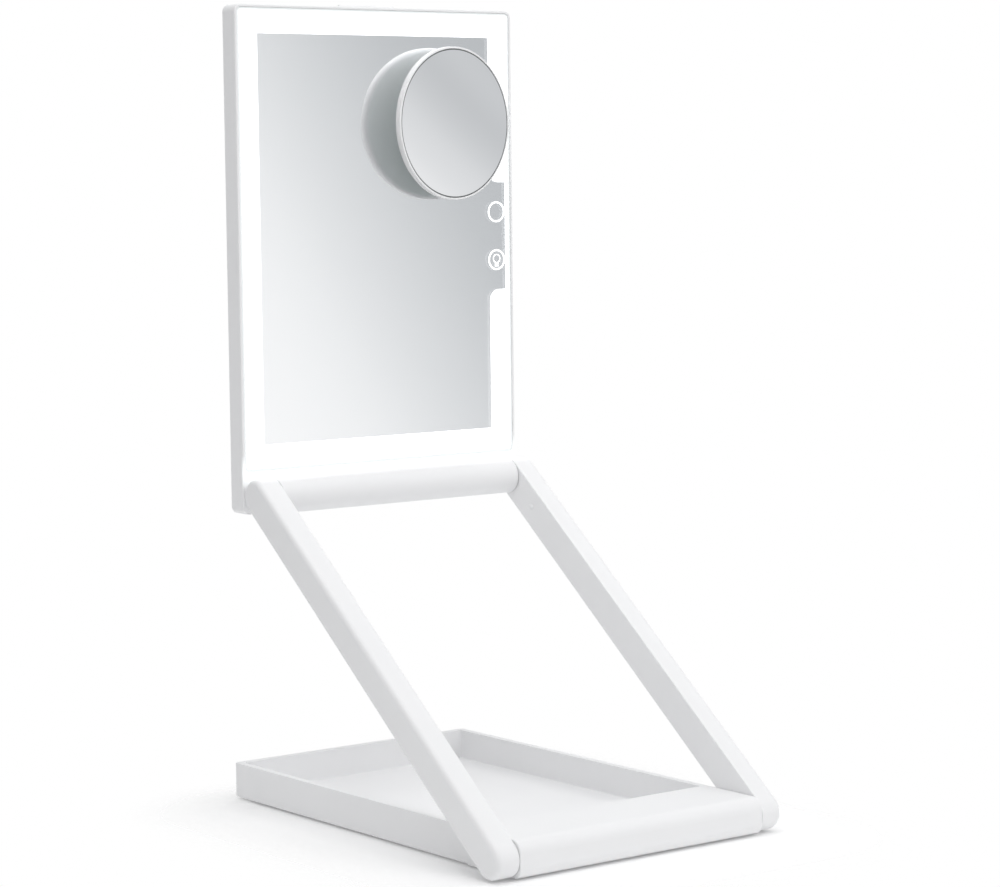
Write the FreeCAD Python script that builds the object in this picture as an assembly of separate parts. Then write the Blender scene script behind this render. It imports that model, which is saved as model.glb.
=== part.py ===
import FreeCAD, Part
import math
import os

# Folding table mirror: a shallow tray base, two hinged arms, a thin lit mirror
# head on a hinge barrel, and a round magnifier held to the glass by a magnet.
# Millimetres, +X to the right, +Y to the back, +Z up. The pieces are laid out
# from the lower hinge axis and moved to the middle of the footprint at the end.

# Arms
arms_outer_width = 184.4
arm_width = 13.4
arm_depth = 19.0
arm_length = 257.5
arm_lean_deg = 38.5
arm_outer_round = 3.0
arm_inner_round = 0.6
nub_radius = 1.8
nub_height = 0.6
nub_from_upper_hinge = 25.6

# Hinge pins and bushes
pin_radius = 3.0
pin_depth_in_arm = 8.0
pin_end_play = 0.5
bush_wall = 2.0
bush_length = 10.0
running_gap = 0.05
seat_gap = 0.02
knuckle_gap = 0.3

# Base tray and front block
foot_height = 1.0
foot_radius = 5.0
foot_inset = 14.0
foot_edge = 0.3
tray_side_gap = 0.85
tray_wall = 4.0
tray_floor = 2.8
tray_corner = 2.0
tray_edge_round = 1.6
tray_floor_round = 0.8
well_corner = 1.2
fold_gap = 0.5
block_depth = 33.5
nose_top_round = 6.5
nose_low_round = 5.0
block_roof = 2.4
block_rear_wall = 2.5
block_end_wall = 11.5
block_edge_round = 0.5
plate_thickness = 2.0
plate_gap = 0.15
weight_height = 9.0
weight_margin = 4.0
weight_end_margin = 16.0

# Screws
screw_radius = 1.1
screw_head_radius = 2.3
screw_head_height = 1.1
screw_hole_gap = 0.05
screw_pass_gap = 0.2
screw_recess = 0.1
boss_radius = 3.5
plate_screw_length = 8.0
cover_screw_length = 6.5
barrel_screw_length = 11.0
barrel_screw_shares = (-0.75, -0.25, 0.25, 0.75)

# Mirror head
head_side_inset = 0.7
head_height = 270.5
head_thickness = 12.5
head_corner = 4.0
head_front_round = 0.6
head_rear_round = 1.2
head_gap = 1.0
hinge_height = 10.2
frame_depth = 4.5
cover_wall = 1.6
bezel_lip = 1.5
chin_height = 23.1
ledge_width = 1.2
tab_length = 36.0
tab_height = 1.5
tab_thickness = 1.8
tab_round = 0.6
neck_height = 13.0
neck_end_inset = 3.0

# Glass, silvering and light
glass_thickness = 2.5
glass_recess = 0.3
glass_gap = 0.1
border_width = 13.5
silver_thickness = 0.2
silver_gap = 0.1
diffuser_thickness = 1.4
diffuser_gap = 0.2
band_end_round = 6.0
touch_height = 144.9
touch_gap_height = 60.2
touch_pitch = 26.9
touch_from_edge = 8.7
touch_ring_diameter = 10.7
touch_ring_stroke = 1.5
edge_strip_width = 2.5
touch_board_thickness = 1.0
touch_board_inset = 0.6
chip_gap = 0.1
chip_height = 0.5
chip_length = 2.8
chip_width = 1.6
chip_pitch = 17.0
strip_thickness = 0.4
strip_width = 6.0
reflector_thickness = 0.8
reflector_gap = 0.4

# Electronics behind the reflector
post_radius = 4.0
post_inset = 24.0
post_end_inset = 40.0
post_rows = 3
battery_width = 50.0
battery_height = 60.0
battery_thickness = 3.5
battery_corner = 1.0
battery_from_bottom = 55.0
board_width = 36.0
board_height = 32.0
board_thickness = 0.6
board_from_bottom = 30.0
socket_width = 8.9
socket_height = 3.2
socket_length = 7.5
socket_wall = 0.4
socket_back_wall = 0.8
socket_recess = 0.3
socket_gap = 0.1

# Magnifier
magnifier_radius = 42.0
magnifier_from_right = 48.4
magnifier_from_top = 62.8
magnifier_turn_deg = 8.0
magnifier_rim = 1.05
magnifier_rim_depth = 5.0
magnifier_back = 1.6
magnifier_back_round = 2.6
magnifier_lip_round = 0.4
magnifier_glass_gap = 0.15
magnifier_glass_recess = 0.3
magnifier_curve_radius = 900.0
pad_thickness = 0.4
holder_radius = 12.5
holder_thickness = 2.2
holder_edge_round = 0.6
magnet_radius = 9.0
magnet_thickness = 1.4
catch_plate_radius = 14.0
catch_plate_thickness = 0.8
ball_radius = 2.4
ball_neck_radius = 1.3
ball_from_glass = 4.8
socket_boss_radius = 5.5
socket_wrap = 0.9
back_from_ball = 1.6

# Cutters reach this far past a face, and points this close count as one
overcut = 1.0
nearly = 1e-4

# Worked out from the sizes above
knuckle_radius = arm_depth / 2.0
arm_inner_x = arms_outer_width / 2.0 - arm_width
bush_radius = pin_radius + bush_wall
lower_hinge_z = foot_height + knuckle_radius
upper_hinge_y = arm_length * math.cos(math.radians(arm_lean_deg))
upper_hinge_z = lower_hinge_z + arm_length * math.sin(math.radians(arm_lean_deg))

block_half = arm_inner_x - knuckle_gap
block_cavity_half = block_half - block_end_wall
tray_half = arm_inner_x - tray_side_gap
tray_top = foot_height + arm_depth
tray_back = arm_length - knuckle_radius - fold_gap
plate_top = foot_height + plate_thickness
plate_rear = block_depth - block_rear_wall

barrel_setback = knuckle_radius + head_gap
head_front_y = upper_hinge_y + barrel_setback
head_bottom_z = upper_hinge_z - hinge_height
head_half = arms_outer_width / 2.0 - head_side_inset
glass_half = head_half - bezel_lip
glass_top = head_height - bezel_lip
glass_back = glass_recess + glass_thickness
silver_half = glass_half - border_width
silver_low = chin_height + border_width
silver_high = glass_top - border_width
silver_back = glass_back + silver_thickness
tab_edge = glass_half - edge_strip_width
tab_low = touch_height - touch_gap_height / 2.0
tab_high = touch_height + touch_gap_height / 2.0
diffuser_inset = ledge_width + diffuser_gap
diffuser_back = glass_back + diffuser_thickness
chip_front = diffuser_back + chip_gap
strip_front = chip_front + chip_height
reflector_front = strip_front + strip_thickness
reflector_back = reflector_front + reflector_thickness
cover_inside = head_thickness - cover_wall

magnifier_x = head_half - magnifier_from_right
magnifier_h = head_height - magnifier_from_top
ball_depth = glass_recess - ball_from_glass
footprint_middle_y = (tray_back - knuckle_radius) / 2.0

X_WAY = FreeCAD.Vector(1, 0, 0)
Y_WAY = FreeCAD.Vector(0, 1, 0)
Z_WAY = FreeCAD.Vector(0, 0, 1)
ORIGIN = FreeCAD.Vector(0, 0, 0)


def point(x, y, z):
    return FreeCAD.Vector(x, y, z)


def box(x0, x1, y0, y1, z0, z1):
    return Part.makeBox(x1 - x0, y1 - y0, z1 - z0, point(x0, y0, z0))


def rod_x(x0, x1, y, z, radius):
    return Part.makeCylinder(radius, x1 - x0, point(x0, y, z), X_WAY)


def rod_y(y0, y1, x, z, radius):
    return Part.makeCylinder(radius, y1 - y0, point(x, y0, z), Y_WAY)


def rod_z(z0, z1, x, y, radius):
    return Part.makeCylinder(radius, z1 - z0, point(x, y, z0), Z_WAY)


def rounded_face(x0, x1, y0, y1, radius):
    """Rectangle with round corners in the XY plane."""
    bend = radius * (1.0 - math.sqrt(0.5))
    sides = [
        Part.LineSegment(point(x0 + radius, y0, 0), point(x1 - radius, y0, 0)),
        Part.Arc(point(x1 - radius, y0, 0), point(x1 - bend, y0 + bend, 0), point(x1, y0 + radius, 0)),
        Part.LineSegment(point(x1, y0 + radius, 0), point(x1, y1 - radius, 0)),
        Part.Arc(point(x1, y1 - radius, 0), point(x1 - bend, y1 - bend, 0), point(x1 - radius, y1, 0)),
        Part.LineSegment(point(x1 - radius, y1, 0), point(x0 + radius, y1, 0)),
        Part.Arc(point(x0 + radius, y1, 0), point(x0 + bend, y1 - bend, 0), point(x0, y1 - radius, 0)),
        Part.LineSegment(point(x0, y1 - radius, 0), point(x0, y0 + radius, 0)),
        Part.Arc(point(x0, y0 + radius, 0), point(x0 + bend, y0 + bend, 0), point(x0 + radius, y0, 0)),
    ]
    return Part.Face(Part.Wire([side.toShape() for side in sides]))


def rounded_block(x0, x1, y0, y1, z0, z1, radius):
    """Upright block with round corners, seen from above."""
    face = rounded_face(x0, x1, y0, y1, radius)
    face.translate(point(0, 0, z0))
    return face.extrude(point(0, 0, z1 - z0))


def rounded_panel(x0, x1, d0, d1, h0, h1, radius):
    """Upright panel with round corners, seen from the front."""
    face = rounded_face(x0, x1, h0, h1, radius)
    face.rotate(ORIGIN, X_WAY, 90)
    face.translate(point(0, d0, 0))
    return face.extrude(point(0, d1 - d0, 0))


def edges_where(shape, wanted):
    """Edges whose two ends and middle all pass a test."""
    found = []
    for edge in shape.Edges:
        middle = edge.valueAt((edge.FirstParameter + edge.LastParameter) / 2.0)
        places = [vertex.Point for vertex in edge.Vertexes] + [middle]
        if all(wanted(place) for place in places):
            found.append(edge)
    return found


def near(a, b):
    return abs(a - b) < nearly


def joined(first, others):
    return first.fuse(others).removeSplitter()


def spun(profile):
    """Full turn about the Y axis of a closed profile in the XY plane."""
    return Part.Face(Part.Wire([side.toShape() for side in profile])).revolve(ORIGIN, Y_WAY, 360)


def closed_lines(corners):
    """Straight sides through the corners and back to the first."""
    return [Part.LineSegment(a, b) for a, b in zip(corners, corners[1:] + corners[:1])]


def on_head(shape):
    """From the head's own frame (front face at y 0, bottom edge at z 0)."""
    shape.translate(point(0, head_front_y, head_bottom_z))
    return shape


def on_ball(shape):
    """From a frame at the magnifier's ball centre to the head's frame."""
    shape.translate(point(magnifier_x, ball_depth, magnifier_h))
    return on_head(shape)


def on_turned_ball(shape):
    shape.rotate(ORIGIN, Z_WAY, magnifier_turn_deg)
    return on_ball(shape)


def hinge_bores(y, z):
    """Blind bores for the bushes in both ends of a hinge bar."""
    inner = block_half - bush_length
    radius = bush_radius + seat_gap
    right = rod_x(inner, block_half + knuckle_gap, y, z, radius)
    left = rod_x(-block_half - knuckle_gap, -inner, y, z, radius)
    return [right, left]


def plate_screw_spots():
    reach = block_cavity_half - boss_radius
    front = boss_radius + block_rear_wall
    rear = plate_rear - boss_radius
    return [(x, y) for x in (-reach, reach) for y in (front, rear)]


def front_block():
    """Thick front bar with a rounded nose ahead of the lower hinge."""
    front = -knuckle_radius
    block = box(-block_half, block_half, front, block_depth, foot_height, tray_top)
    for radius, height in ((nose_top_round, tray_top), (nose_low_round, foot_height)):
        nose = edges_where(block, lambda p: near(p.y, front) and near(p.z, height))
        block = block.makeFillet(radius, nose)
    ahead = block_depth - nearly
    ends = edges_where(block, lambda p: near(abs(p.x), block_half) and (p.y < ahead or near(p.z, tray_top)))
    return block.makeFillet(block_edge_round, ends)


def base_tray():
    """Open tray with the front block, hollow from below for the weight."""
    start = block_depth - tray_corner - tray_edge_round
    tray = rounded_block(-tray_half, tray_half, start, tray_back, foot_height, tray_top, tray_corner)
    skirt = edges_where(tray, lambda p: near(p.z, foot_height) and p.y > block_depth - tray_corner)
    tray = tray.makeFillet(tray_edge_round, skirt)
    well_half = tray_half - tray_wall
    well_back = tray_back - tray_wall
    floor_top = foot_height + tray_floor
    well = rounded_block(-well_half, well_half, block_depth, well_back,
                         floor_top, tray_top + overcut, well_corner)
    well = well.makeFillet(tray_floor_round, edges_where(well, lambda p: near(p.z, floor_top)))
    body = joined(tray, [front_block()]).cut(well)
    front = block_rear_wall
    roof = tray_top - block_roof
    cavity = box(-block_cavity_half, block_cavity_half, front, plate_rear, 0, roof)
    body = body.cut([cavity] + hinge_bores(0, lower_hinge_z))
    bosses = [rod_z(plate_top, roof, x, y, boss_radius) for x, y in plate_screw_spots()]
    body = joined(body, bosses)
    pilot = screw_radius + screw_hole_gap
    reach = plate_top + plate_screw_length
    return body.cut([rod_z(0, reach, x, y, pilot) for x, y in plate_screw_spots()])


def base_bottom_plate():
    """Plate that closes the block from below, countersunk for its screws."""
    half = block_cavity_half - plate_gap
    plate = box(-half, half, block_rear_wall + plate_gap, plate_rear - plate_gap, foot_height, plate_top)
    cuts = []
    for x, y in plate_screw_spots():
        cuts.append(rod_z(0, plate_top, x, y, screw_radius + screw_pass_gap))
        seat = foot_height + screw_recess + screw_head_height
        cuts.append(rod_z(0, seat, x, y, screw_head_radius + screw_pass_gap))
    return plate.cut(cuts)


def base_plate_screws():
    seat = foot_height + screw_recess + screw_head_height
    screws = []
    for x, y in plate_screw_spots():
        head = rod_z(foot_height + screw_recess, seat, x, y, screw_head_radius)
        screws.append(joined(head, [rod_z(seat, foot_height + plate_screw_length, x, y, screw_radius)]))
    return Part.makeCompound(screws)


def counterweight():
    half = block_cavity_half - weight_end_margin
    front = block_rear_wall + weight_margin
    return box(-half, half, front, plate_rear - weight_margin, plate_top, plate_top + weight_height)


def base_feet():
    plate_middle = (block_rear_wall + plate_rear) / 2.0
    spots = [(tray_half - foot_inset, tray_back - foot_inset)]
    spots.append((block_cavity_half - weight_end_margin, plate_middle))
    feet = []
    for x, y in spots:
        for side in (-1, 1):
            foot = rod_z(0, foot_height, side * x, y, foot_radius)
            rim = edges_where(foot, lambda p: near(p.z, 0))
            feet.append(foot.makeChamfer(foot_edge, rim))
    return Part.makeCompound(feet)


def bushes(y, z):
    """Pair of plain bushes, flush with the ends of a hinge bar."""
    pair = []
    for start in (block_half - bush_length, -block_half):
        ring = rod_x(start, start + bush_length, y, z, bush_radius)
        pair.append(ring.cut(rod_x(start, start + bush_length, y, z, pin_radius + running_gap)))
    return Part.makeCompound(pair)


def pins(y, z):
    """Pair of pins fixed in the arms and turning in the bushes."""
    tip = block_half - bush_length + pin_end_play
    root = arm_inner_x + pin_depth_in_arm
    return Part.makeCompound([rod_x(tip, root, y, z, pin_radius), rod_x(-root, -tip, y, z, pin_radius)])


def arm(side):
    """Straight bar with round ends, drilled for both pins, with its nub."""
    r = knuckle_radius
    sides = [
        Part.LineSegment(point(0, 0, -r), point(0, arm_length, -r)),
        Part.Arc(point(0, arm_length, -r), point(0, arm_length + r, 0), point(0, arm_length, r)),
        Part.LineSegment(point(0, arm_length, r), point(0, 0, r)),
        Part.Arc(point(0, 0, r), point(0, -r, 0), point(0, 0, -r)),
    ]
    face = Part.Face(Part.Wire([line.toShape() for line in sides]))
    inner = side * arm_inner_x
    face.translate(point(inner, 0, 0))
    bar = face.extrude(point(side * arm_width, 0, 0))
    for radius, x in ((arm_outer_round, arms_outer_width / 2.0), (arm_inner_round, arm_inner_x)):
        bar = bar.makeFillet(radius, edges_where(bar, lambda p: near(abs(p.x), x)))
    dome_radius = (nub_radius ** 2 + nub_height ** 2) / (2.0 * nub_height)
    dome_x = inner + side * (dome_radius - nub_height)
    dome = Part.makeSphere(dome_radius, point(dome_x, arm_length - nub_from_upper_hinge, 0))
    half_space = sorted((inner, inner - side * dome_radius))
    dome = dome.common(box(half_space[0], half_space[1], 0, arm_length, -r, r))
    bar = joined(bar, [dome])
    ends = sorted((inner, inner + side * pin_depth_in_arm))
    bar = bar.cut([rod_x(ends[0], ends[1], y, 0, pin_radius + seat_gap) for y in (0, arm_length)])
    bar.rotate(ORIGIN, X_WAY, arm_lean_deg)
    bar.translate(point(0, 0, lower_hinge_z))
    return bar


def cover_screw_spots():
    reach = block_cavity_half
    return [(-reach, hinge_height), (reach, hinge_height)]


def barrel_screw_spots():
    reach = block_cavity_half
    return [(share * reach, hinge_height) for share in barrel_screw_shares]


def head_outline(d0, d1):
    return rounded_panel(-head_half, head_half, d0, d1, 0, head_height, head_corner)


def finger_tab():
    """Low rib along the rear top edge, for lifting the closed head."""
    half = tab_length / 2.0
    front = head_thickness - head_rear_round - tab_thickness
    rib = box(-half, half, front, front + tab_thickness, head_height - tab_round, head_height + tab_height)
    top = edges_where(rib, lambda p: near(p.z, head_height + tab_height))
    return rib.makeFillet(tab_round, top)


def head_frame():
    """Front frame with the chin, the glass rebate and the screw bosses."""
    frame = head_outline(0, frame_depth)
    frame = frame.makeFillet(head_front_round, edges_where(frame, lambda p: near(p.y, 0)))
    edge = glass_gap
    rebate_corner = head_corner - bezel_lip + edge
    rebate = rounded_panel(-glass_half - edge, glass_half + edge, -overcut, glass_back,
                           chin_height - edge, glass_top + edge, rebate_corner)
    window = box(-glass_half + ledge_width, glass_half - ledge_width, -overcut, frame_depth + overcut,
                 chin_height + ledge_width, glass_top - ledge_width)
    frame = frame.cut([rebate, window])
    bosses = [rod_y(frame_depth, cover_inside, x, h, boss_radius) for x, h in cover_screw_spots()]
    frame = joined(frame, bosses)
    pilot = screw_radius + screw_hole_gap
    bottom = cover_inside - cover_screw_length
    holes = [rod_y(bottom, cover_inside, x, h, pilot) for x, h in cover_screw_spots()]
    passing = screw_radius + screw_pass_gap
    holes += [rod_y(-overcut, frame_depth, x, h, passing) for x, h in barrel_screw_spots()]
    return on_head(frame.cut(holes))


def head_rear_cover():
    """Rear shell with the reflector posts and the charging opening."""
    cover = head_outline(frame_depth, head_thickness)
    cover = cover.makeFillet(head_rear_round, edges_where(cover, lambda p: near(p.y, head_thickness)))
    inner = head_half - cover_wall
    corner = head_corner - cover_wall
    cover = cover.cut(rounded_panel(-inner, inner, frame_depth - overcut, cover_inside,
                                    cover_wall, head_height - cover_wall, corner))
    posts = [rod_y(reflector_back, cover_inside, x, h, post_radius) for x, h in post_spots()]
    cover = joined(cover, posts + [finger_tab()])
    cuts = []
    seat = head_thickness - screw_recess - screw_head_height
    for x, h in cover_screw_spots():
        cuts.append(rod_y(cover_inside - overcut, head_thickness, x, h, screw_radius + screw_pass_gap))
        cuts.append(rod_y(seat, head_thickness, x, h, screw_head_radius + screw_pass_gap))
    cuts.append(charging_opening())
    return on_head(cover.cut(cuts))


def post_spots():
    across = head_half - post_inset
    low = silver_low + post_end_inset
    step = (silver_high - post_end_inset - low) / (post_rows - 1)
    return [(x, low + row * step) for x in (-across, across) for row in range(post_rows)]


def charging_opening():
    """Round-ended opening in the right wall for the charging socket."""
    middle_h = board_from_bottom + board_height / 2.0
    middle_d = reflector_back + board_thickness + socket_height / 2.0
    start = head_half - cover_wall - overcut
    return socket_bar(start, head_half + overcut, middle_d, middle_h, socket_gap)


def socket_bar(x0, x1, middle_d, middle_h, extra):
    radius = socket_height / 2.0 + extra
    flat = socket_width / 2.0 - socket_height / 2.0
    ends = [rod_x(x0, x1, middle_d, middle_h + side * flat, radius) for side in (-1, 1)]
    middle = box(x0, x1, middle_d - radius, middle_d + radius, middle_h - flat, middle_h + flat)
    return joined(middle, ends)


def usb_socket():
    """Metal shell of the charging socket, open to the right."""
    middle_h = board_from_bottom + board_height / 2.0
    middle_d = reflector_back + board_thickness + socket_height / 2.0
    mouth = head_half - socket_recess
    shell = socket_bar(mouth - socket_length, mouth, middle_d, middle_h, 0)
    start = mouth - socket_length + socket_back_wall
    hollow = socket_bar(start, mouth + overcut, middle_d, middle_h, -socket_wall)
    return on_head(shell.cut(hollow))


def hinge_barrel():
    """Round bar between the arms' upper ends, with its neck to the chin."""
    barrel = rod_x(-block_half, block_half, -barrel_setback, hinge_height, knuckle_radius)
    barrel = barrel.makeFillet(block_edge_round, edges_where(barrel, lambda p: near(abs(p.x), block_half)))
    neck_half = block_half - neck_end_inset
    neck = box(-neck_half, neck_half, -barrel_setback, 0,
               hinge_height - neck_height / 2.0, hinge_height + neck_height / 2.0)
    body = joined(barrel, [neck]).cut(hinge_bores(-barrel_setback, hinge_height))
    pilot = screw_radius + screw_hole_gap
    depth = frame_depth - barrel_screw_length - overcut
    return on_head(body.cut([rod_y(depth, overcut, x, h, pilot) for x, h in barrel_screw_spots()]))


def screws_from_behind(spots, seat, length):
    screws = []
    for x, h in spots:
        head = rod_y(seat, seat + screw_head_height, x, h, screw_head_radius)
        screws.append(joined(head, [rod_y(seat - length, seat, x, h, screw_radius)]))
    return on_head(Part.makeCompound(screws))


def cover_screws():
    seat = head_thickness - screw_recess - screw_head_height
    return screws_from_behind(cover_screw_spots(), seat, cover_screw_length)


def barrel_screws():
    return screws_from_behind(barrel_screw_spots(), frame_depth, barrel_screw_length)


def mirror_glass():
    corner = head_corner - bezel_lip
    return on_head(rounded_panel(-glass_half, glass_half, glass_recess, glass_back,
                                 chin_height, glass_top, corner))


def touch_spots():
    x = glass_half - touch_from_edge
    return [(x, touch_height + side * touch_pitch / 2.0) for side in (-1, 1)]


def silver_backing():
    """Mirror film with a tab for the touch zones and their clear rings."""
    film = box(-silver_half, silver_half, glass_back, silver_back, silver_low, silver_high)
    tab = box(silver_half - overcut, tab_edge, glass_back, silver_back, tab_low, tab_high)
    film = joined(film, [tab])
    for height in (tab_low, tab_high):
        root = edges_where(film, lambda p: near(p.x, silver_half) and near(p.z, height))
        film = film.makeFillet(band_end_round + silver_gap, root)
    outer = (touch_ring_diameter + touch_ring_stroke) / 2.0
    inner = (touch_ring_diameter - touch_ring_stroke) / 2.0
    for x, h in touch_spots():
        ring = rod_y(glass_back, silver_back, x, h, outer).cut(rod_y(glass_back, silver_back, x, h, inner))
        film = film.cut(ring)
    return on_head(film)


def diffuser_frame():
    """Light-spreading border behind the glass, with a bay at the touch zones."""
    half = glass_half - diffuser_inset
    low = chin_height + diffuser_inset
    high = glass_top - diffuser_inset
    gap = silver_gap
    border = box(-half, half, glass_back, diffuser_back, low, high)
    opening = box(-silver_half - gap, silver_half + gap, glass_back, diffuser_back,
                  silver_low - gap, silver_high + gap)
    bay = box(silver_half, tab_edge + gap, glass_back, diffuser_back, tab_low - gap, tab_high + gap)
    border = border.cut([opening, bay])
    for height in (tab_low - gap, tab_high + gap):
        end = edges_where(border, lambda p: near(p.x, silver_half + gap) and near(p.z, height))
        border = border.makeFillet(band_end_round, end)
    return on_head(border)


def strip_runs():
    """Light strips as (x0, x1, h0, h1), along the middle of the border."""
    middle = border_width / 2.0
    half = strip_width / 2.0
    left = -glass_half + middle
    low = chin_height + middle
    high = glass_top - middle
    ends = (low + half + chip_gap, high - half - chip_gap)
    runs = [(left - half, -left + half, h - half, h + half) for h in (low, high)]
    runs.append((left - half, left + half, ends[0], ends[1]))
    runs.append((-left - half, -left + half, ends[0], tab_low))
    runs.append((-left - half, -left + half, tab_high, ends[1]))
    return runs


def led_strips():
    strips = [box(x0, x1, strip_front, reflector_front, h0, h1) for x0, x1, h0, h1 in strip_runs()]
    return on_head(Part.makeCompound(strips))


def led_chips():
    """Light chips spaced evenly along each strip."""
    chips = []
    for x0, x1, h0, h1 in strip_runs():
        upright = h1 - h0 > x1 - x0
        length = max(x1 - x0, h1 - h0)
        count = max(int(length / chip_pitch), 1)
        for index in range(count):
            along = (index + 0.5) * length / count
            x = (x0 + x1) / 2.0 if upright else x0 + along
            h = h0 + along if upright else (h0 + h1) / 2.0
            wide, tall = (chip_width, chip_length) if upright else (chip_length, chip_width)
            chips.append(box(x - wide / 2.0, x + wide / 2.0, chip_front, strip_front,
                             h - tall / 2.0, h + tall / 2.0))
    return on_head(Part.makeCompound(chips))


def reflector_plate():
    """White plate that carries the light strips, on the cover's posts."""
    inset = ledge_width + reflector_gap
    return on_head(box(-glass_half + inset, glass_half - inset, reflector_front, reflector_back,
                       chin_height + inset, glass_top - inset))


def touch_board():
    edge = touch_board_inset
    return on_head(box(silver_half + edge, tab_edge - edge, silver_back, silver_back + touch_board_thickness,
                       tab_low + edge, tab_high - edge))


def battery():
    half = battery_width / 2.0
    return on_head(rounded_panel(-half, half, reflector_back, reflector_back + battery_thickness,
                                 battery_from_bottom, battery_from_bottom + battery_height, battery_corner))


def control_board():
    right = head_half - cover_wall - socket_gap
    top = board_from_bottom + board_height
    return on_head(box(right - board_width, right, reflector_back, reflector_back + board_thickness,
                       board_from_bottom, top))


def steel_catch_plate():
    return on_head(rod_y(silver_back, silver_back + catch_plate_thickness,
                         magnifier_x, magnifier_h, catch_plate_radius))


def magnet_pad():
    front = glass_recess - pad_thickness
    return on_head(rod_y(front, glass_recess, magnifier_x, magnifier_h, holder_radius))


def magnet():
    back = glass_recess - pad_thickness
    return on_head(rod_y(back - magnet_thickness, back, magnifier_x, magnifier_h, magnet_radius))


def magnet_holder():
    """Puck on the pad with a pocket for the magnet and a ball stud."""
    back = glass_recess - pad_thickness
    front = back - holder_thickness
    puck = rod_y(front, back, magnifier_x, magnifier_h, holder_radius)
    puck = puck.makeFillet(holder_edge_round, edges_where(puck, lambda p: near(p.y, front)))
    puck = puck.cut(rod_y(back - magnet_thickness, back, magnifier_x, magnifier_h, magnet_radius + seat_gap))
    neck = rod_y(ball_depth, front, magnifier_x, magnifier_h, ball_neck_radius)
    ball = Part.makeSphere(ball_radius, point(magnifier_x, ball_depth, magnifier_h))
    return on_head(joined(puck, [neck, ball]))


def magnifier_housing():
    """Round dish with a rim for the glass and a socket behind."""
    seat = magnifier_radius - magnifier_rim
    front = -(back_from_ball + magnifier_rim_depth)
    back = -back_from_ball
    floor = back - magnifier_back
    corners = [
        point(0, socket_wrap, 0),
        point(socket_boss_radius, socket_wrap, 0),
        point(socket_boss_radius, back, 0),
        point(magnifier_radius, back, 0),
        point(magnifier_radius, front, 0),
        point(seat, front, 0),
        point(seat, floor, 0),
        point(0, floor, 0),
    ]
    dish = spun(closed_lines(corners))
    for radius, depth in ((magnifier_back_round, back), (magnifier_lip_round, front)):
        rim = edges_where(dish, lambda p: near(p.y, depth) and near(math.hypot(p.x, p.z), magnifier_radius))
        dish = dish.makeFillet(radius, rim)
    return on_turned_ball(dish.cut(Part.makeSphere(ball_radius + running_gap)))


def magnifier_glass():
    """Concave mirror glass that sits in the dish."""
    radius = magnifier_radius - magnifier_rim - magnifier_glass_gap
    floor = -(back_from_ball + magnifier_back)
    front = -(back_from_ball + magnifier_rim_depth - magnifier_glass_recess)
    bend = magnifier_curve_radius

    def hollow(r):
        return front + (math.sqrt(bend ** 2 - r ** 2) - math.sqrt(bend ** 2 - radius ** 2))

    half = radius / 2.0
    sides = [
        Part.LineSegment(point(0, floor, 0), point(radius, floor, 0)),
        Part.LineSegment(point(radius, floor, 0), point(radius, front, 0)),
        Part.Arc(point(radius, front, 0), point(half, hollow(half), 0), point(0, hollow(0), 0)),
        Part.LineSegment(point(0, hollow(0), 0), point(0, floor, 0)),
    ]
    return on_turned_ball(spun(sides))


def main():
    pieces = {
        "base_tray": base_tray(),
        "base_bottom_plate": base_bottom_plate(),
        "base_plate_screws": base_plate_screws(),
        "counterweight": counterweight(),
        "base_feet": base_feet(),
        "lower_bushes": bushes(0, lower_hinge_z),
        "left_arm": arm(-1),
        "right_arm": arm(1),
        "lower_pins": pins(0, lower_hinge_z),
        "upper_pins": pins(upper_hinge_y, upper_hinge_z),
        "head_frame": head_frame(),
        "head_rear_cover": head_rear_cover(),
        "hinge_barrel": hinge_barrel(),
        "upper_bushes": bushes(upper_hinge_y, upper_hinge_z),
        "barrel_screws": barrel_screws(),
        "cover_screws": cover_screws(),
        "mirror_glass": mirror_glass(),
        "silver_backing": silver_backing(),
        "diffuser_frame": diffuser_frame(),
        "led_strips": led_strips(),
        "led_chips": led_chips(),
        "reflector_plate": reflector_plate(),
        "touch_board": touch_board(),
        "control_board": control_board(),
        "battery": battery(),
        "usb_socket": usb_socket(),
        "steel_catch_plate": steel_catch_plate(),
        "magnet_pad": magnet_pad(),
        "magnet": magnet(),
        "magnet_holder": magnet_holder(),
        "magnifier_housing": magnifier_housing(),
        "magnifier_glass": magnifier_glass(),
    }
    os.makedirs("parts", exist_ok=True)
    for name, shape in pieces.items():
        shape.translate(point(0, -footprint_middle_y, 0))
        if not shape.isValid():
            raise ValueError(name + " is not a valid solid")
        shape.exportStep("parts/" + name + ".step")
        print(name, len(shape.Solids), "solids", round(shape.Volume / 1000.0, 2), "cm3")


main()
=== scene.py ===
import math

import bpy
import bmesh
from mathutils import Matrix, Vector


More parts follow.
